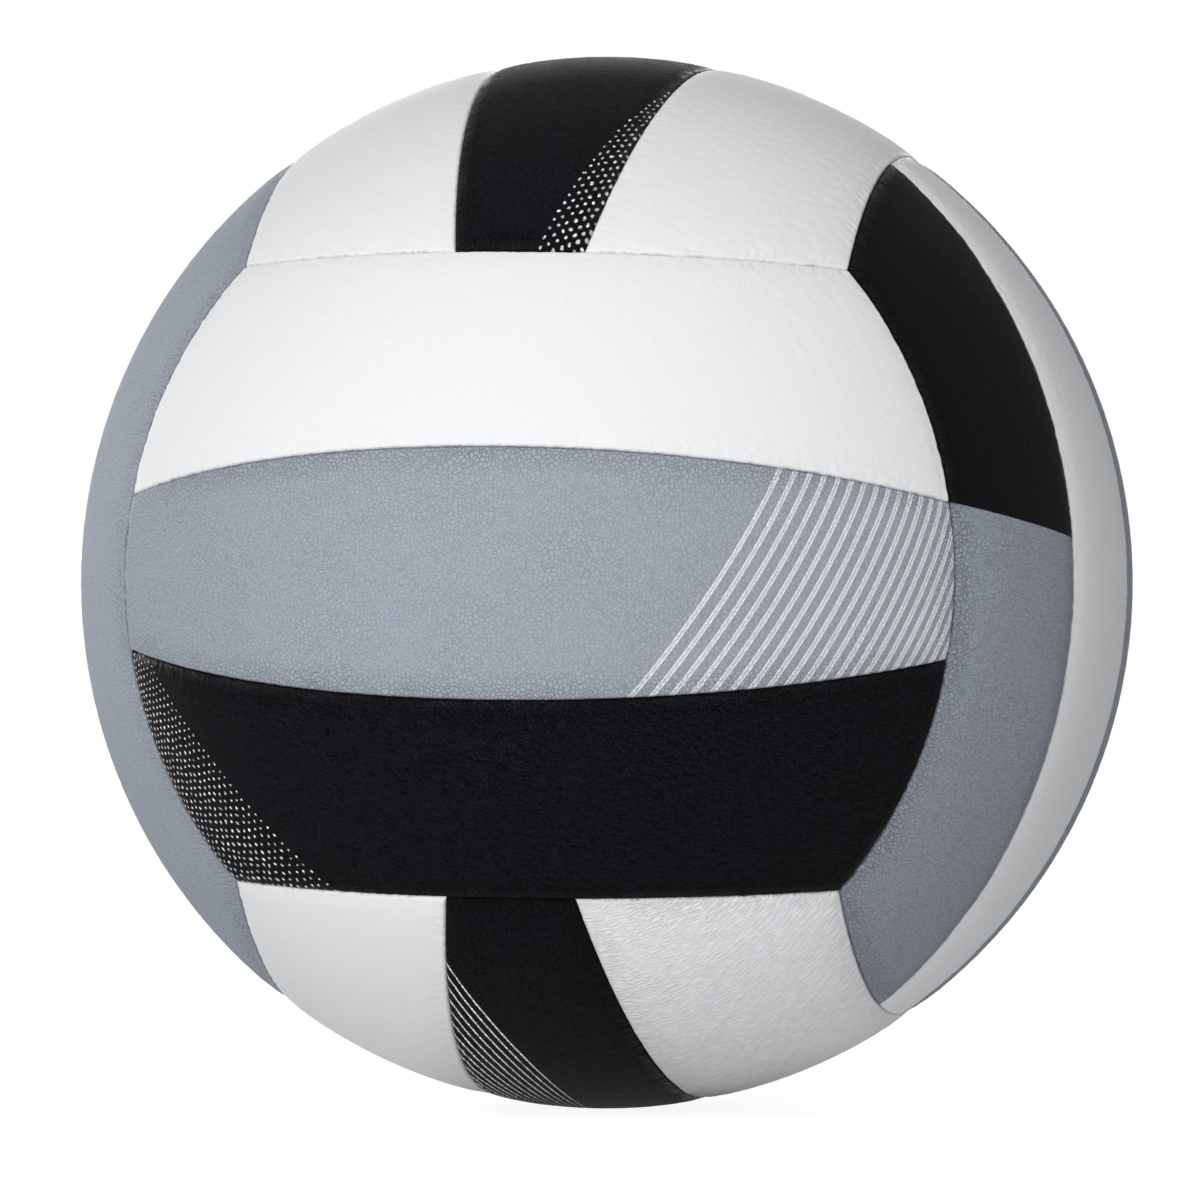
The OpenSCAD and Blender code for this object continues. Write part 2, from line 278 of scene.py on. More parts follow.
def fan_faces(fine, coarse):
    """Triangles between a ring and one with a point for every LINING_STEP of its points."""
    half = LINING_STEP // 2
    owner = (np.arange(len(fine)) + half) // LINING_STEP % len(coarse)
    slim = np.stack([fine, coarse[owner], np.roll(fine, -1)], -1)
    wide = np.stack([fine[half::LINING_STEP], coarse, np.roll(coarse, -1)], -1)
    return np.concatenate([slim, wide])


def open_hole(points, reach, radius):
    """Draws a grid's middle points out to a round hole about +Z. Gives the points, the hole's ring
    among them, and which of them are gone.

    c is a point's distance from the middle, counted in rows as the larger of both ways, over reach.
    Where c is 1 it lies on the circle, and from there to c = HOLE_BLEND a smooth step s s (3 - 2 s)
    takes it over to its own place.
    """
    rows, columns = points.shape[:2]
    i, j = np.meshgrid(np.arange(rows) - rows // 2, np.arange(columns) - columns // 2,
                       indexing="ij")
    c = np.maximum(abs(i), abs(j)) / reach
    share = np.clip((HOLE_BLEND - c) / (HOLE_BLEND - 1), 0, 1)[..., None]
    share = share * share * (3 - 2 * share)
    flat = points[..., :2]
    length = np.maximum(np.linalg.norm(flat, axis=-1, keepdims=True), TINY)
    flat = flat + share * (flat / length * (radius / BALL_R * c[..., None]) - flat)
    height = np.sqrt(1 - (flat ** 2).sum(-1, keepdims=True))
    ring = ring_of(points.shape, (rows // 2 - reach, columns // 2 - reach), 2 * reach + 1)
    return np.concatenate([flat, height], -1), ring, c < 1


def make_mesh(name, points, quads, triangles, values):
    """A mesh from whole arrays of points, quads, triangles and named point values, shaded smooth.
    Points that no face uses are left out."""
    corners = np.concatenate([quads.ravel(), triangles.ravel()])
    sizes = np.concatenate([np.full(len(quads), 4), np.full(len(triangles), 3)])
    used, corners = np.unique(corners, return_inverse=True)
    mesh = bpy.data.meshes.new(name)
    mesh.vertices.add(len(used))
    mesh.vertices.foreach_set("co", points[used].astype(np.float32).ravel())
    mesh.loops.add(len(corners))
    mesh.loops.foreach_set("vertex_index", corners.astype(np.int32).ravel())
    mesh.polygons.add(len(sizes))
    mesh.polygons.foreach_set("loop_start", (np.cumsum(sizes) - sizes).astype(np.int32))
    mesh.update(calc_edges=True)
    mesh.shade_smooth()
    for value_name, value in values.items():
        attribute = mesh.attributes.new(value_name, "FLOAT", "POINT")
        attribute.data.foreach_set("value", value[used].astype(np.float32))
    return mesh


def make_cover(panel, seed, hole_mm):
    """A panel's leather: its outer side, its turned-in edges and its hidden side, closed all round.

    The outer side lies at the ball's radius less the p-norm of the four seams' depths, where p is
    JOINING_POWER. Where hole_mm isn't 0, a round hole of that radius with a soft lip goes through
    the panel's middle.
    """
    width_mm = (panel.edge(panel.strip + 1, 0, 0) - panel.edge(panel.strip, 0, 0)) * BALL_R / MM
    length_mm = 2 * panel.end(0, 0) * BALL_R / MM
    u = graded(ROWS_ACROSS, width_mm)
    v = 2 * graded(ROWS_ALONG, length_mm) - 1
    outer = directions(*panel.grid(u, v, SEAM_GAP / 2 / BALL_R))
    inner = directions(*panel.grid(u[::LINING_STEP], v[::LINING_STEP],
                                   (SEAM_GAP / 2 + SKIN_T) / BALL_R))
    outer_gone, inner_gone = np.zeros(outer.shape[:2], bool), np.zeros(inner.shape[:2], bool)
    if hole_mm:
        outer, hole_ring, outer_gone = open_hole(outer, HOLE_ROWS, (hole_mm + HOLE_LIP_MM) * MM)
        inner, ledge_ring, inner_gone = open_hole(inner, HOLE_ROWS // LINING_STEP,
                                                  (hole_mm + HOLE_LEDGE_MM) * MM)

    across, along = np.arctan2(outer[..., 1], outer[..., 2]), np.arcsin(outer[..., 0])
    seams = panel.seam_distances(across, along)
    places = [along * BALL_R / MM] * 2 + [across * np.cos(along) * BALL_R / MM] * 2
    swells = [SIDE_SWELL_MM if panel.tight and e in (1, 2) else SWELL_MM
              for e in (panel.strip, panel.strip + 1)] + [SWELL_MM] * 2
    depths = np.array([seam_depth(d, s, seed + SEAM_SEEDS * k, swell)
                       for k, (d, s, swell) in enumerate(zip(seams, places, swells))])
    rough_mm = WRINKLE_MM + SEAM_WRINKLE_MM * np.exp(-seams.min(axis=0) / WRINKLE_REACH_MM)
    depth_mm = (np.sum(depths ** JOINING_POWER, axis=0) ** (1 / JOINING_POWER)
                + rough_mm * (1 - wrinkles(outer * BALL_R / MM, seed)))
    outer_r = BALL_R - depth_mm * MM

    border, in_border = ring_of(outer.shape), ring_of(inner.shape)
    rim, rim_r = outer.reshape(-1, 3)[border], outer_r.ravel()[border]
    walls = [rim * (rim_r + (LINING_R - rim_r) * share)[:, None] for share in WALL_SHARES]
    blocks = [(outer * outer_r[..., None]).reshape(-1, 3), *walls,
              inner.reshape(-1, 3)[in_border] * LINING_R,
              inner.reshape(-1, 3) * (BALL_R - SKIN_T)]
    if hole_mm:
        lip = outer.reshape(-1, 3)[hole_ring]
        lip = lip[:, :2] / np.linalg.norm(lip[:, :2], axis=1, keepdims=True)
        for radius_mm, depth_mm in HOLE_RINGS_MM:
            flat = lip * (hole_mm + radius_mm) * MM
            height = np.sqrt((BALL_R - depth_mm * MM) ** 2 - (flat ** 2).sum(1, keepdims=True))
            blocks.append(np.concatenate([flat, height], 1))
    _, *starts = np.cumsum([0] + [len(block) for block in blocks[:-1]])
    wall_starts, (foot_start, lining_start, *hole_starts) = starts[:len(walls)], starts[len(walls):]

    rings = [border] + [start + np.arange(len(border)) for start in wall_starts]
    foot = foot_start + np.arange(len(in_border))
    quads = [grid_faces(outer_gone, 0), grid_faces(inner_gone, lining_start)[:, ::-1],
             ring_faces(foot, lining_start + in_border), *map(ring_faces, rings, rings[1:])]
    triangles = fan_faces(rings[-1], foot)
    if hole_mm:
        steps = [hole_ring] + [start + np.arange(len(lip)) for start in hole_starts]
        quads += [ring_faces(b, a) for a, b in zip(steps, steps[1:])]
        ledge = fan_faces(steps[-1], lining_start + ledge_ring)[:, ::-1]
        triangles = np.concatenate([triangles, ledge])

    points = np.concatenate(blocks)
    x, y, z = (points / np.linalg.norm(points, axis=1, keepdims=True)).T
    values = {"along": np.degrees(np.arctanh(x)), "across": np.degrees(np.arctan2(y, z)),
              "seam": panel.seam_distances(np.arctan2(y, z), np.arcsin(x)).min(axis=0)}
    mesh = make_mesh("leather_" + panel.name, points @ panel.matrix.T, np.concatenate(quads),
                     triangles, values)
    cover = bpy.data.objects.new("leather_" + panel.name, mesh)
    bpy.context.scene.collection.objects.link(cover)
    return cover


# Materials

def linear(hex_colour):
    """sRGB hex value to a linear colour with alpha 1."""
    parts = [int(hex_colour[i:i + 2], 16) / 255 for i in (1, 3, 5)]
    return [p / 12.92 if p <= 0.04045 else ((p + 0.055) / 1.055) ** 2.4 for p in parts] + [1]


def add(tree, kind, links=None, **settings):
    """Adds a node. links sets its inputs, each to a constant or to another node's output."""
    node = tree.nodes.new(kind)
    for key, value in settings.items():
        setattr(node, key, value)
    for key, value in (links or {}).items():
        if isinstance(value, bpy.types.NodeSocket):
            tree.links.new(value, node.inputs[key])
        else:
            node.inputs[key].default_value = value
    return node


def start_material(name):
    """An empty node material with its output."""
    material = bpy.data.materials.new(name)
    material.use_nodes = True
    material.node_tree.nodes.clear()
    return material, material.node_tree, add(material.node_tree, "ShaderNodeOutputMaterial")


def formula(tree, steps, **names):
    """Runs short steps such as ("sum", "ADD", "a", 2.0): the last name is the result."""
    values = dict(names)
    for target, operation, *terms in steps:
        links = {i: values.get(t, t) if isinstance(t, str) else t for i, t in enumerate(terms)}
        values[target] = add(tree, "ShaderNodeMath", links, operation=operation).outputs[0]
    return values[steps[-1][0]]


# Prints. A place is given in degrees: "across" is the angle across, and "along" is the angle along
# drawn out by 1 / cos(along), so that patterns keep their shape.

def print_places(tree):
    """The two attributes that a print's place is worked out from, along and across."""
    x = add(tree, "ShaderNodeAttribute", attribute_name="along").outputs["Fac"]
    y = add(tree, "ShaderNodeAttribute", attribute_name="across").outputs["Fac"]
    return x, y


# Slanted lines on a middle panel's end: the first is a parabola across the panel, and the others
# follow it at a pitch that fans out a little
SLANT_AT_DEG, SLANT_LEAN, SLANT_BEND = 25.1, 0.639, 0.0094
SLANT_PITCH_DEG, SLANT_FAN, SLANT_WIDTH_MM = 2.15, 0.0049, 1.0
SLANT_SCALE = 0.85                      # a degree there measures this share of one in the middle
SLANT_GROWTH, SLANT_HEART = 0.03, 0.5   # how much wider each line is, and how thin its middle
LINE_SOFT, HEART_EDGES = 0.2, (0.35, 0.75)  # where a line and its heart fade, in half widths


def line_mask(tree, k, half_share, growth=0.0, heart=1.0):
    """1 on the lines where k is a whole number from 0 up, falling to heart along their middles.
    Line k is 1 + growth k times as wide as the first."""
    off = formula(tree, [
        ("shift", "ADD", "k", 0.5), ("fract", "FRACT", "shift"),
        ("off", "SUBTRACT", "fract", 0.5), ("abs", "ABSOLUTE", "off"),
        ("grown", "MULTIPLY_ADD", "k", growth, 1.0), ("share", "DIVIDE", "abs", "grown")], k=k)
    soft = LINE_SOFT * half_share
    band = add(tree, "ShaderNodeMapRange", {
        "Value": off, "From Min": half_share - soft, "From Max": half_share + soft,
        "To Min": 1.0, "To Max": 0.0}).outputs[0]
    core = add(tree, "ShaderNodeMapRange", {
        "Value": off, "From Min": HEART_EDGES[0] * half_share,
        "From Max": HEART_EDGES[1] * half_share, "To Min": heart, "To Max": 1.0}).outputs[0]
    return formula(tree, [
        ("from_first", "GREATER_THAN", "k", -0.5), ("line", "MULTIPLY", "band", "core"),
        ("mask", "MULTIPLY", "line", "from_first")], k=k, band=band, core=core)


def slanted_lines(tree):
    """Mask: |fract(k + 1/2) - 1/2| below half a line's share of the pitch, where k counts lines."""
    x, y = print_places(tree)
    half_share = SLANT_WIDTH_MM / 2 / MM_PER_DEG / SLANT_SCALE / SLANT_PITCH_DEG
    k = formula(tree, [
        ("slant", "MULTIPLY", "y", SLANT_LEAN),
        ("square", "MULTIPLY", "y", "y"),
        ("bend", "MULTIPLY", "square", SLANT_BEND),
        ("line", "SUBTRACT", "slant", "bend"),
        ("past", "SUBTRACT", "x", "line"),
        ("place", "SUBTRACT", "past", SLANT_AT_DEG),
        ("fan", "MULTIPLY_ADD", "y", -SLANT_FAN * SLANT_PITCH_DEG, SLANT_PITCH_DEG),
        ("k", "DIVIDE", "place", "fan")], x=x, y=y)
    return line_mask(tree, k, half_share, SLANT_GROWTH, SLANT_HEART)


# Arcs on the bottom middle panel: parabolas, each moved on from the one before by one step
ARC_MIDDLE_DEG, ARC_AT_DEG, ARC_BEND = 8.0, 0.3, 0.0072
ARC_STEP_DEG, ARC_PITCH_DEG, ARC_WIDTH_MM = (-1.4, 0.71), 1.1, 0.46
ARC_TURN_DEG, ARC_ROUND_DEG = -8.0, 4.0     # where the pattern bends back as its mirror image


def side_arcs(tree):
    """Mask of thin lines: k solves y - k step_y = at + bend (x' - middle - k step_x)^2, where
    x' = sqrt((x - turn)^2 + round^2) + turn."""
    x, y = print_places(tree)
    step_x, step_y = ARC_STEP_DEG
    square_part = ARC_BEND * step_x * step_x
    k = formula(tree, [
        ("past", "SUBTRACT", "x", ARC_TURN_DEG), ("past2", "MULTIPLY", "past", "past"),
        ("soft2", "ADD", "past2", ARC_ROUND_DEG ** 2), ("folded", "SQRT", "soft2"),
        ("a", "ADD", "folded", ARC_TURN_DEG - ARC_MIDDLE_DEG),
        ("b", "MULTIPLY_ADD", "a", -2 * ARC_BEND * step_x, step_y),
        ("aa", "MULTIPLY", "a", "a"),
        ("arc", "MULTIPLY_ADD", "aa", ARC_BEND, ARC_AT_DEG),
        ("c", "SUBTRACT", "arc", "y"),
        ("ac", "MULTIPLY", "c", -4 * square_part),
        ("root2", "MULTIPLY_ADD", "b", "b", "ac"),
        ("root", "SQRT", "root2"),
        ("top", "SUBTRACT", "root", "b"),
        ("k", "MULTIPLY", "top", 0.5 / square_part)], x=x, y=y)
    return line_mask(tree, k, ARC_WIDTH_MM / 2 / MM_PER_DEG / ARC_PITCH_DEG)


# Halftone dots: place of the first row, its direction, pitch, distance of the rows, dot diameter
# and how far dots and pitch are drawn out along the row
END_DOTS = {"at_deg": (-49.3, -17.0), "angle_deg": -37.7, "pitch_deg": 1.2, "rows_deg": 1.02,
            "dot_mm": 0.54, "stretch": 1.15}
SIDE_DOTS = {"at_deg": (-62.3, -3.8), "angle_deg": -10.6, "pitch_deg": 2.25, "rows_deg": 1.25,
             "dot_mm": 0.9, "stretch": 1.5, "closing": 0.0435}
DOT_SCALE = 0.75                        # a degree there measures this share of one in the middle
DOT_SOFT = 0.25                         # share of its radius over which a dot's edge fades
FIRST_DOT, GROWING_ROWS = 0.7, 5.0      # a dot of the first row, as a share of the full size
STRAY_MM, STRAY_DEG = 3, 1.1            # size of the print's uneven places, and how far dots stray
FAINT_DOTS = {"From Min": 0.3, "From Max": 0.5, "To Min": 0.75, "To Max": 1.0}


def halftone(tree, at_deg, angle_deg, pitch_deg, rows_deg, dot_mm, stretch, closing=0.0,
             both_ends=False):
    """Mask: staggered rows of dots on one side of a slanted line, from the first row on. At c
    pitches from the first dot the pattern is 1 + closing c times as close."""
    x, y = print_places(tree)
    place = add(tree, "ShaderNodeTexCoord").outputs["Object"]
    stray = add(tree, "ShaderNodeTexNoise", {"Vector": place, "Scale": 1 / (STRAY_MM * MM)})
    parts = add(tree, "ShaderNodeSeparateColor", {0: stray.outputs["Color"]}).outputs
    x, y = (formula(tree, [("off", "SUBTRACT", "part", 0.5),
                           ("place", "MULTIPLY_ADD", "off", STRAY_DEG, "v")], part=part, v=v)
            for part, v in zip(parts, (x, y)))
    if both_ends:
        sign = formula(tree, [("sign", "SIGN", "x"), ("back", "MULTIPLY", "sign", -1.0)], x=x)
        x = formula(tree, [("x2", "MULTIPLY", "x", "sign")], x=x, sign=sign)
        y = formula(tree, [("y2", "MULTIPLY", "y", "sign")], y=y, sign=sign)
    cos, sin = float(np.cos(np.radians(angle_deg))), float(np.sin(np.radians(angle_deg)))
    radius = dot_mm / 2 / MM_PER_DEG / DOT_SCALE
    c = formula(tree, [
        ("dx", "SUBTRACT", "x", at_deg[0]), ("dy", "SUBTRACT", "y", at_deg[1]),
        ("a", "MULTIPLY", "dx", cos), ("b", "MULTIPLY_ADD", "dy", sin, "a"),
        ("c", "DIVIDE", "b", pitch_deg)], x=x, y=y)
    row = formula(tree, [
        ("dx", "SUBTRACT", "x", at_deg[0]), ("dy", "SUBTRACT", "y", at_deg[1]),
        ("a", "MULTIPLY", "dx", sin), ("b", "MULTIPLY", "dy", -cos),
        ("side", "ADD", "a", "b"), ("close", "MULTIPLY_ADD", "c", closing, 1.0),
        ("closed", "MULTIPLY", "side", "close"), ("row", "DIVIDE", "closed", rows_deg)],
        x=x, y=y, c=c)
    whole = formula(tree, [("half", "ADD", "row", 0.5), ("whole", "FLOOR", "half")], row=row)
    off_row = formula(tree, [("off", "SUBTRACT", "row", "whole"),
                             ("deg", "MULTIPLY", "off", rows_deg)], row=row, whole=whole)
    off_pitch = formula(tree, [
        ("close", "MULTIPLY_ADD", "c", closing / 2, 1.0), ("closed", "MULTIPLY", "c", "close"),
        ("stagger", "MULTIPLY_ADD", "whole", 0.5, "closed"),
        ("shift", "ADD", "stagger", 0.5), ("fract", "FRACT", "shift"),
        ("off", "SUBTRACT", "fract", 0.5), ("deg", "MULTIPLY", "off", pitch_deg / stretch)],
        c=c, whole=whole)
    distance = formula(tree, [
        ("a", "MULTIPLY", "off_row", "off_row"),
        ("b", "MULTIPLY_ADD", "off_pitch", "off_pitch", "a"),
        ("distance", "SQRT", "b")], off_row=off_row, off_pitch=off_pitch)
    fade = add(tree, "ShaderNodeMapRange", {"Value": parts[2]} | FAINT_DOTS).outputs[0]
    growth = add(tree, "ShaderNodeMapRange", {
        "Value": whole, "From Min": 0.0, "From Max": GROWING_ROWS, "To Min": FIRST_DOT,
        "To Max": 1.0}).outputs[0]
    share = formula(tree, [("share", "DIVIDE", "distance", "growth")],
                    distance=distance, growth=growth)
    dot = add(tree, "ShaderNodeMapRange", {
        "Value": share, "From Min": radius * (1 - DOT_SOFT), "From Max": radius * (1 + DOT_SOFT),
        "To Min": 1.0, "To Max": 0.0}).outputs[0]
    return formula(tree, [
        ("from_first", "GREATER_THAN", "whole", -0.5),
        ("whole_dot", "MULTIPLY", "dot", "from_first"),
        ("mask", "MULTIPLY", "whole_dot", "fade")], whole=whole, dot=dot, fade=fade)


# Two colours on the right group's front panel, which meet on a slanted line
TONE_AT_DEG, TONE_LEAN = 2.42, 0.157
TONE_EDGE = {"From Min": -0.06, "From Max": 0.06}


def lower_tone(tree):
    """Mask: 1 below the line x = at + lean y."""
    x, y = print_places(tree)
    past = formula(tree, [("line", "MULTIPLY_ADD", "y", TONE_LEAN, TONE_AT_DEG),
                          ("past", "SUBTRACT", "line", "x")], x=x, y=y)
    return add(tree, "ShaderNodeMapRange", {"Value": past} | TONE_EDGE).outputs[0]


# The leather

WHITE, CREASED_WHITE, BLACK = "#ecedef", "#f3f3f6", "#131317"
# The second grey is the first darkened, painted shade for the grey part of the side groups'
# two-tone panels
GREY, PAINTED_SHADE_GREY = "#9fa6b0", "#9aa1ab"
SILVER, DOT_WHITE = "#f4f5f7", "#f4f4f6"        # inks of the lines, and of the dots and arcs
LEATHER_IOR = 1.47
MATT, MATT_ROUGH, GLOSS_ROUGH = 0.025, 0.62, 0.35   # specular level, and roughness of both finishes
LEATHERS = {    # relief of the grain, painted sheen on its tops and painted shade in its creases, share of the streaks in it, painted shade in the seam's groove, and specular level of the burnished band along it
                # tint of the turned edge, and specular level of the burnished band along it
    "white": {"colour": WHITE, "relief": 0.28, "crease_shade_and_top_sheen": 0.012, "streaked": 0.4, "edge": 0.9,
              "gloss": MATT},
    "creased_white": {"colour": CREASED_WHITE, "relief": 1.6, "crease_shade_and_top_sheen": 0.075, "streaked": 1.0,
                      "edge": 0.9, "gloss": MATT},
    "grey": {"colour": GREY, "relief": 1.4, "crease_shade_and_top_sheen": 0.15, "streaked": 0.1, "edge": 0.7,
             "gloss": MATT},
    "black": {"colour": BLACK, "relief": 2.9, "crease_shade_and_top_sheen": 0.95, "streaked": 0.4, "edge": 0.7,
              "gloss": 0.12, "streak_deg": 70.0},
    "two_tone": {"colour": BLACK, "relief": 3.2, "crease_shade_and_top_sheen": 0.2, "streaked": 0.3, "edge": 0.7,
                 "gloss": 0.11},
}

GRAIN_MM, FINE_GRAIN_MM = 0.86, 0.35    # size of a pebble in the grain, and of what lies on it
GRAIN_DEPTH_MM, FINE_SHARE = 0.19, 0.4
CREASE = {"From Min": 0.0, "From Max": 0.12}    # half width of a crease between pebbles, in pebbles
PEBBLE_STRAY_MM, PEBBLE_STRAY = 3.0, 0.0009     # what bends the pebbles: its size and its strength
STREAK_MM, STREAK_STRETCH = 0.4, 7.5    # width of the streaks that the grain runs into, and length
STREAK_STRAY_MM, STREAK_BEND = 8, 3.0   # size of what bends them, and how far they stray in widths
STREAK_EDGE = {"From Min": 0.36, "From Max": 0.64}
PATCH_MM = 14                           # size of the places where grain and band are stronger
PATCH_RELIEF, LEAST_RELIEF = 0.9, 0.3   # relief that a patch adds, and what is there without it
TOP_TINT, STREAK_TOP_TINT = 0.35, 0.65  # how much the painted sheen lightens the tops, and what streaks add to it
SPOT_MM, SPOT_DARK, SPOT_LIGHT = 1.3, 0.8, 1.06     # size, darkest and lightest share of the uneven spots of painted shade in a seam's groove
TOP_SHINE, CREASE_SHINE = 0.9, 0.1      # the band shines mostly on the tops

# What goes over from one value to another with the distance from the seam in mm
RELIEF_FROM_SEAM = {"From Min": 1.0, "From Max": 6.0, "To Min": 1.0, "To Max": 0.6}
# The painted crease shade and top sheen are weak at the seam and full further out
TINT_FROM_SEAM = {"From Min": 0.6, "From Max": 2.6, "To Min": 0.35, "To Max": 1.0}
# Painted shade in the seam's groove, from its full darkness at the seam to none
GROOVE_SHADE_FROM_SEAM = {"From Min": 0.15, "From Max": 0.5, "To Max": 1.0}
BAND_FROM_SEAM = {"From Min": 0.5, "From Max": 2.6, "To Min": 1.0, "To Max": 0.0}
# The same with the noise of the patches and of the spots
# How strong the painted crease shade and top sheen are in a patch
TINT_IN_PATCH = {"From Min": 0.35, "From Max": 0.65, "To Min": 0.85, "To Max": 1.1}
BAND_IN_PATCH = {"From Min": 0.4, "From Max": 0.6, "To Min": 0.25, "To Max": 1.0}
# Where the spots of painted shade in the seam's groove are dark or light
SPOT_EDGE = {"From Min": 0.38, "From Max": 0.52}


def streaks(tree, place, angle_deg):
    """Uneven field between 0 and 1, drawn out into streaks: noise over the panel's two directions,
    turned by the angle, with one of them shortened, and both bent by a wider noise."""
    x, y = print_places(tree)
    warp = add(tree, "ShaderNodeTexNoise", {"Vector": place, "Scale": 1 / (STREAK_STRAY_MM * MM)})
    parts = add(tree, "ShaderNodeSeparateColor", {0: warp.outputs["Color"]}).outputs
    cos, sin = float(np.cos(np.radians(angle_deg))), float(np.sin(np.radians(angle_deg)))
    share = MM_PER_DEG / STREAK_MM
    steps = [("a", "MULTIPLY", "x", "kx"), ("b", "MULTIPLY_ADD", "y", "ky", "a"),
             ("place", "MULTIPLY_ADD", "bend", "reach", "b")]
    across = formula(tree, steps, x=x, y=y, kx=cos * share, ky=sin * share, bend=parts[0],
                     reach=2 * STREAK_BEND)
    share /= STREAK_STRETCH
    along = formula(tree, steps, x=x, y=y, kx=-sin * share, ky=cos * share, bend=parts[1],
                    reach=2 * STREAK_BEND / STREAK_STRETCH)
    flat = add(tree, "ShaderNodeCombineXYZ", {0: across, 1: along}).outputs[0]
    return add(tree, "ShaderNodeTexNoise", {"Vector": flat, "Scale": 1.0, "Detail": 1.0}
               ).outputs["Fac"]


def leather(name, colour, relief, crease_shade_and_top_sheen, streaked, edge, gloss, streak_deg=0.0, mask=None,
            ink=SILVER):
    """Synthetic leather: a polyurethane film that a pebbled roller embossed on cloth, cold pressed
    over foam and drawn tight at the seams. It gives a matt surface with small flat pebbles that run
    into short streaks, and a narrow burnished band along each seam. Painted sheen lightens the tops
    of the grain, and painted shade darkens its creases and the groove along each seam."""
    material, tree, out = start_material(name)
    place = add(tree, "ShaderNodeTexCoord").outputs["Object"]
    seam = add(tree, "ShaderNodeAttribute", attribute_name="seam").outputs["Fac"]

    warp = add(tree, "ShaderNodeTexNoise", {"Vector": place, "Scale": 1 / (PEBBLE_STRAY_MM * MM),
               "Detail": 2.0})
    bent = add(tree, "ShaderNodeMix", {"Factor": PEBBLE_STRAY, "A": place,
               "B": warp.outputs["Color"]}, data_type="VECTOR").outputs["Result"]
    cells = add(tree, "ShaderNodeTexVoronoi", {"Vector": bent, "Scale": 1 / (GRAIN_MM * MM)},
                feature="DISTANCE_TO_EDGE").outputs["Distance"]
    pebble = add(tree, "ShaderNodeMapRange", {"Value": cells} | CREASE,
                 interpolation_type="SMOOTHSTEP").outputs[0]
    streak = add(tree, "ShaderNodeMapRange",
                 {"Value": streaks(tree, place, streak_deg)} | STREAK_EDGE,
                 interpolation_type="SMOOTHSTEP").outputs[0]
    fine = add(tree, "ShaderNodeTexNoise", {"Vector": place, "Scale": 1 / (FINE_GRAIN_MM * MM),
               "Detail": 3.0}).outputs["Fac"]
    patch = add(tree, "ShaderNodeTexNoise", {"Vector": place, "Scale": 1 / (PATCH_MM * MM),
                "Detail": 2.0}).outputs["Fac"]
    coarse = formula(tree, [("pebbled", "MULTIPLY", "pebble", 1 - streaked),
                            ("coarse", "MULTIPLY_ADD", "streak", streaked, "pebbled")],
                     pebble=pebble, streak=streak)
    height = formula(tree, [("weight", "MULTIPLY_ADD", "patch", PATCH_RELIEF, LEAST_RELIEF),
                            ("weighted", "MULTIPLY", "coarse", "weight"),
                            ("both", "MULTIPLY_ADD", "fine", FINE_SHARE, "weighted")],
                     coarse=coarse, fine=fine, patch=patch)
    strength = add(tree, "ShaderNodeMapRange", {"Value": seam} | RELIEF_FROM_SEAM).outputs[0]
    bump = add(tree, "ShaderNodeBump", {"Strength": strength, "Height": height,
               "Distance": GRAIN_DEPTH_MM * relief * MM})

    # Painted shade in the grain's creases and painted sheen on its tops, weaker near the seam and
    # stronger in patches
    full_grain_shade = add(tree, "ShaderNodeMapRange", {
        "Value": coarse, "To Min": 1 - crease_shade_and_top_sheen,
        "To Max": 1 + crease_shade_and_top_sheen * (TOP_TINT + STREAK_TOP_TINT * streaked)}).outputs[0]
    fade = add(tree, "ShaderNodeMapRange", {"Value": seam} | TINT_FROM_SEAM).outputs[0]
    strong = add(tree, "ShaderNodeMapRange", {"Value": patch} | TINT_IN_PATCH).outputs[0]
    tint = formula(tree, [("off", "SUBTRACT", "full", 1.0), ("faded", "MULTIPLY", "off", "fade"),
                          ("tint", "MULTIPLY_ADD", "faded", "strong", 1.0)],
                   full=full_grain_shade, fade=fade, strong=strong)
    base = linear(colour)
    if mask is not None:
        base = add(tree, "ShaderNodeMix", {"Factor": mask(tree), "A": base, "B": linear(ink)},
                   data_type="RGBA").outputs["Result"]
    # Painted shade in the seam's groove: the colour darkened by the edge value within half a mm of
    # the seam, in uneven spots
    spots = add(tree, "ShaderNodeTexNoise", {"Vector": place, "Scale": 1 / (SPOT_MM * MM)}
                ).outputs["Fac"]
    uneven = add(tree, "ShaderNodeMapRange", {"Value": spots, "To Min": SPOT_DARK * edge,
                 "To Max": SPOT_LIGHT * edge} | SPOT_EDGE).outputs[0]
    turned = add(tree, "ShaderNodeMapRange", {"Value": seam, "To Min": uneven} | GROOVE_SHADE_FROM_SEAM
                 ).outputs[0]
    factor = formula(tree, [("factor", "MULTIPLY", "tint", "turned")], tint=tint, turned=turned)
    shaded = add(tree, "ShaderNodeMix", {"Factor": 1.0, "A": base, "B": factor},
                 data_type="RGBA", blend_type="MULTIPLY").outputs["Result"]

    band = add(tree, "ShaderNodeMapRange", {"Value": seam} | BAND_FROM_SEAM).outputs[0]
    worn = add(tree, "ShaderNodeMapRange", {"Value": patch} | BAND_IN_PATCH).outputs[0]
    level = formula(tree, [("tops", "MULTIPLY_ADD", "coarse", TOP_SHINE, CREASE_SHINE),
                           ("rubbed", "MULTIPLY", "band", "tops"),
                           ("uneven", "MULTIPLY", "rubbed", "worn"),
                           ("level", "MULTIPLY_ADD", "uneven", gloss - MATT, MATT)],
                    coarse=coarse, band=band, worn=worn)
    rough = add(tree, "ShaderNodeMapRange", {"Value": band, "To Min": MATT_ROUGH,
                "To Max": GLOSS_ROUGH}).outputs[0]
    shader = add(tree, "ShaderNodeBsdfPrincipled", {"Base Color": shaded, "Roughness": rough,
                 "IOR": LEATHER_IOR, "Specular IOR Level": level, "Normal": bump.outputs[0]})
    tree.links.new(shader.outputs[0], out.inputs[0])
    return material


INSIDE_TINT = {"To Min": 0.8, "To Max": 1.15}
INSIDE_RELIEF = 0.6


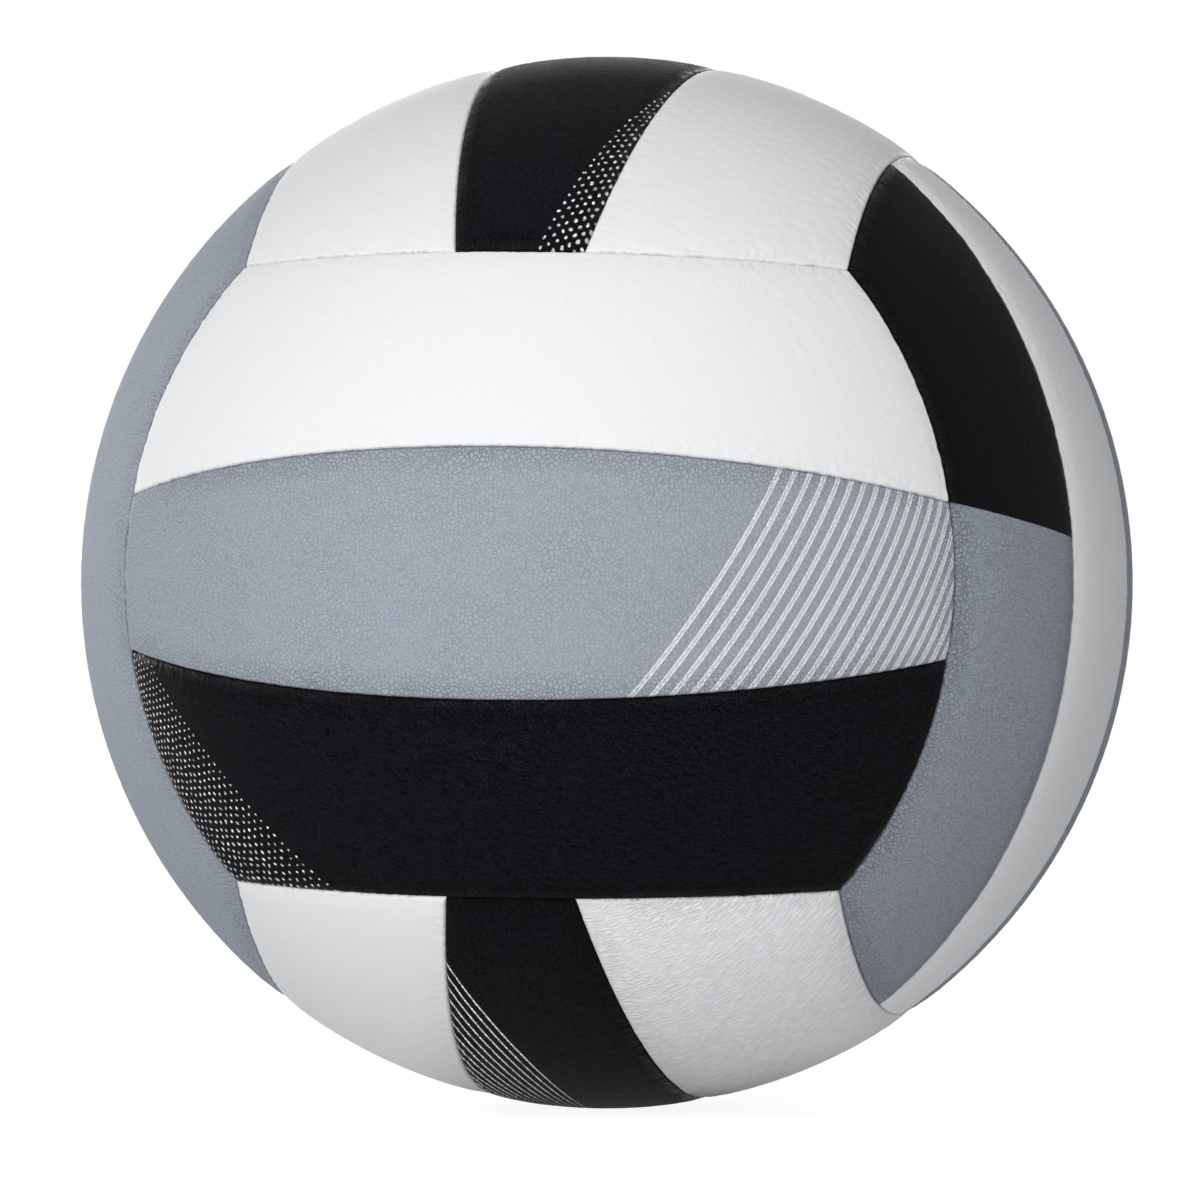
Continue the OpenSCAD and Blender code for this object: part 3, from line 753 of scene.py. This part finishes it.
def inside_material(name, colour, roughness, scale_mm, depth_mm, drawn_out=(1, 1, 1)):
    """What lies under the cover: one colour with a grain of the given size, drawn out by a factor
    along each axis where the material is wound or spun."""
    material, tree, out = start_material(name)
    place = add(tree, "ShaderNodeTexCoord").outputs["Object"]
    spread = add(tree, "ShaderNodeMapping", {"Vector": place, "Scale": drawn_out}).outputs[0]
    grain = add(tree, "ShaderNodeTexNoise", {"Vector": spread, "Scale": 1 / (scale_mm * MM),
                "Detail": 4.0}).outputs["Fac"]
    tint = add(tree, "ShaderNodeMapRange", {"Value": grain} | INSIDE_TINT).outputs[0]
    shade = add(tree, "ShaderNodeMix", {"Factor": 1.0, "A": linear(colour), "B": tint},
                data_type="RGBA", blend_type="MULTIPLY").outputs["Result"]
    bump = add(tree, "ShaderNodeBump", {"Strength": INSIDE_RELIEF, "Distance": depth_mm * MM,
               "Height": grain})
    shader = add(tree, "ShaderNodeBsdfPrincipled", {"Base Color": shade, "Roughness": roughness,
                 "Normal": bump.outputs[0]})
    tree.links.new(shader.outputs[0], out.inputs[0])
    return material


white = leather("pebbled_polyurethane_leather_white", **LEATHERS["white"])
creased = leather("creased_polyurethane_leather_white", **LEATHERS["creased_white"])
grey = leather("pebbled_polyurethane_leather_grey", **LEATHERS["grey"])
lined = leather("grey_leather_printed_with_slanted_lines", **LEATHERS["grey"], mask=slanted_lines)
dotted = leather("black_leather_printed_with_end_dots", **LEATHERS["black"],
                 mask=lambda tree: halftone(tree, **END_DOTS), ink=DOT_WHITE)
side_dotted = leather("black_leather_printed_with_side_dots", **LEATHERS["black"],
                      mask=lambda tree: halftone(tree, **SIDE_DOTS, both_ends=True), ink=DOT_WHITE)
arced = leather("black_leather_printed_with_thin_arcs", **LEATHERS["black"] | {"gloss": MATT},
                mask=side_arcs, ink=DOT_WHITE)
# The grey below the slanted line is the darkened grey, painted shade
two_tone = leather("black_and_grey_leather", **LEATHERS["two_tone"], mask=lower_tone,
                   ink=PAINTED_SHADE_GREY)

COVERS = {
    "front": (dotted, lined, white), "back": (dotted, lined, white),
    "top": (white, side_dotted, white), "bottom": (creased, arced, white),
    "right": (grey, white, two_tone), "left": (grey, white, two_tone),
}

for number, group in enumerate(GROUPS):
    for strip in range(3):
        panel = Panel(group, strip)
        cover = make_cover(panel, GROUP_SEEDS * number + STRIP_SEEDS * strip,
                           VALVE_HOLE_MM if panel.name == VALVE_PANEL else 0)
        cover.data.materials.append(COVERS[group][strip])
        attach(cover, "root")
        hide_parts("cover_" + panel.name)

# Foam blown with closed cells gives a matt face full of fine pores, and twisted yarn a fuzzy one.
# Thread wound round and round and dipped in latex gives bands under a thin gleam. Moulded rubber is
# smooth and satin. A woven patch is matt with a fine even grain.
INSIDES = {     # colour, roughness, and the grain's size and depth in mm
    "foam": inside_material("closed_cell_foam_cream", "#e9e4d2", 0.9, 0.8, 0.2),
    "seam_thread": inside_material("spun_cotton_thread_white", "#f0efe8", 0.85, 0.3, 0.1),
    "winding": inside_material("wound_nylon_in_latex", "#d8cfa6", 0.55, 1.2, 0.2, (1, 1, 0.15)),
    "bladder": inside_material("moulded_butyl_black", "#2b2b2d", 0.6, 2.0, 0.05),
    "valve_stem": inside_material("moulded_rubber_dark_grey", "#3b3b3d", 0.55, 0.6, 0.03),
    "valve_core": inside_material("soft_moulded_rubber_black", "#242426", 0.5, 0.4, 0.03),
    "valve_patch": inside_material("woven_cotton_patch", "#e6e4dc", 0.9, 0.5, 0.1),
}
for name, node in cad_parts.items():
    if not name.startswith("cover_"):
        node.data.materials.clear()
        node.data.materials.append(INSIDES["foam" if name.startswith("foam_") else name])

# Camera, fitted to the seams of the photograph

CAMERA_AZIMUTH_DEG, CAMERA_ELEVATION_DEG, CAMERA_ROLL_DEG = 12.40, -0.87, 0.81
CAMERA_DISTANCE = 22 * BALL_R       # as the fit gave it
PHOTO_PX = 1200
OUTLINE_RADIUS_PX, CENTRE_X_PX, CENTRE_Y_PX = 525.9, 607.0, 582.6
SENSOR_MM = 36.0


def make_camera():
    """The photograph's camera: the lens is the one that gives the ball its outline's radius."""
    azimuth, elevation = np.radians(CAMERA_AZIMUTH_DEG), np.radians(CAMERA_ELEVATION_DEG)
    back = Vector((np.sin(azimuth) * np.cos(elevation), -np.cos(azimuth) * np.cos(elevation),
                   np.sin(elevation)))
    right = Vector((0, 0, 1)).cross(back).normalized()
    facing = Matrix((right, back.cross(right), back)).transposed()
    roll = Matrix.Rotation(np.radians(CAMERA_ROLL_DEG), 3, "Z")
    focal_px = OUTLINE_RADIUS_PX * np.sqrt((CAMERA_DISTANCE / BALL_R) ** 2 - 1)
    data = bpy.data.cameras.new("camera")
    data.sensor_width = SENSOR_MM
    data.lens = SENSOR_MM * focal_px / PHOTO_PX
    data.shift_x = (PHOTO_PX / 2 - CENTRE_X_PX) / PHOTO_PX
    data.shift_y = (CENTRE_Y_PX - PHOTO_PX / 2) / PHOTO_PX
    camera = bpy.data.objects.new("camera", data)
    camera.matrix_world = Matrix.Translation(back * CAMERA_DISTANCE) @ (facing @ roll).to_4x4()
    bpy.context.scene.collection.objects.link(camera)
    bpy.context.scene.camera = camera


make_camera()

# Studio: a pale floor, a pale dome, and soft square lamps. The key lamp and the low one stand in
# front, and the others round the ball give its rims and top the photograph's tones.

FLOOR_SIZE, FLOOR_COLOUR = 8.0, "#f4f4f4"
FLOOR_GLOW = 1.13
SHADOW_FADE = {"From Min": 0.25, "From Max": 0.9, "To Min": 0.8, "To Max": 1.0}  # over the distance
DOME_STRENGTH = 0.115
LAMPS = {
    "key": {"at": (-0.59, -2.86, 0.90), "size": 1.4, "power": 43.5},
    "low": {"at": (0.4, -2.95, 0.05), "size": 0.8, "power": 37},
    "left": {"at": (-2.1, -0.6, 1.8), "size": 1.2, "power": 6},
    "rim": {"at": (-2.35, 1.85, 0.3), "size": 1.2, "power": 35},
    "top": {"at": (0.5, -1.2, 2.7), "size": 1.2, "power": 5},
    "right": {"at": (1.7, 0.3, 2.45), "size": 1.2, "power": 10.5},
    "back": {"at": (-0.64, 2.9, 0.6), "size": 1.2, "power": 39},
}


def make_lamp(name, at, size, power):
    """A square area lamp that faces the ball."""
    data = bpy.data.lights.new(name, "AREA")
    data.size, data.energy = size, power
    lamp = bpy.data.objects.new(name, data)
    lamp.location = at
    lamp.rotation_mode = "QUATERNION"
    lamp.rotation_quaternion = (-Vector(at)).to_track_quat("-Z", "Y")
    bpy.context.scene.collection.objects.link(lamp)


def seen_directly(tree):
    """1 for what the camera sees, also mirrored or through glass, and 0 for light on the ball."""
    path = add(tree, "ShaderNodeLightPath").outputs
    return formula(tree, [
        ("a", "MAXIMUM", "camera", "glossy"), ("b", "MAXIMUM", "a", "transmission")],
        camera=path["Is Camera Ray"], glossy=path["Is Glossy Ray"],
        transmission=path["Is Transmission Ray"])


def make_floor():
    """A pale floor under the ball, seen partly as plain white, so that its shadow stays soft."""
    half = FLOOR_SIZE / 2
    mesh = bpy.data.meshes.new("floor")
    mesh.from_pydata([(-half, -half, 0), (half, -half, 0), (half, half, 0), (-half, half, 0)], [],
                     [(0, 1, 2, 3)])
    mesh.transform(Matrix.Translation((0, 0, cad_box[0].z)))
    floor = bpy.data.objects.new("floor", mesh)
    bpy.context.scene.collection.objects.link(floor)
    material, tree, out = start_material("pale_floor")
    seen = seen_directly(tree)
    place = add(tree, "ShaderNodeTexCoord").outputs["Object"]
    reach = add(tree, "ShaderNodeVectorMath", {0: place}, operation="LENGTH").outputs["Value"]
    glowing = add(tree, "ShaderNodeMapRange", {"Value": reach} | SHADOW_FADE).outputs[0]
    share = formula(tree, [("share", "MULTIPLY", "seen", "glowing")], seen=seen, glowing=glowing)
    paint = add(tree, "ShaderNodeBsdfDiffuse", {"Color": linear(FLOOR_COLOUR)})
    glow = add(tree, "ShaderNodeEmission", {"Color": (1, 1, 1, 1), "Strength": FLOOR_GLOW})
    both = add(tree, "ShaderNodeMixShader", {0: share, 1: paint.outputs[0], 2: glow.outputs[0]})
    back = add(tree, "ShaderNodeNewGeometry").outputs["Backfacing"]
    clear = add(tree, "ShaderNodeBsdfTransparent")
    top_only = add(tree, "ShaderNodeMixShader", {0: back, 1: both.outputs[0], 2: clear.outputs[0]})
    tree.links.new(top_only.outputs[0], out.inputs[0])
    mesh.materials.append(material)


def make_world():
    """White behind the ball, and a softer dome that lights it."""
    world = bpy.data.worlds.new("studio")
    bpy.context.scene.world = world
    world.use_nodes = True
    tree = world.node_tree
    tree.nodes.clear()
    seen = seen_directly(tree)
    dome = add(tree, "ShaderNodeBackground", {"Color": (1, 1, 1, 1), "Strength": DOME_STRENGTH})
    white_back = add(tree, "ShaderNodeBackground", {"Color": (1, 1, 1, 1), "Strength": 1.0})
    both = add(tree, "ShaderNodeMixShader", {0: seen, 1: dome.outputs[0], 2: white_back.outputs[0]})
    out = add(tree, "ShaderNodeOutputWorld")
    tree.links.new(both.outputs[0], out.inputs[0])


for name, settings in LAMPS.items():
    make_lamp(name, **settings)
make_floor()
make_world()
bpy.context.scene.view_settings.view_transform = "Standard"
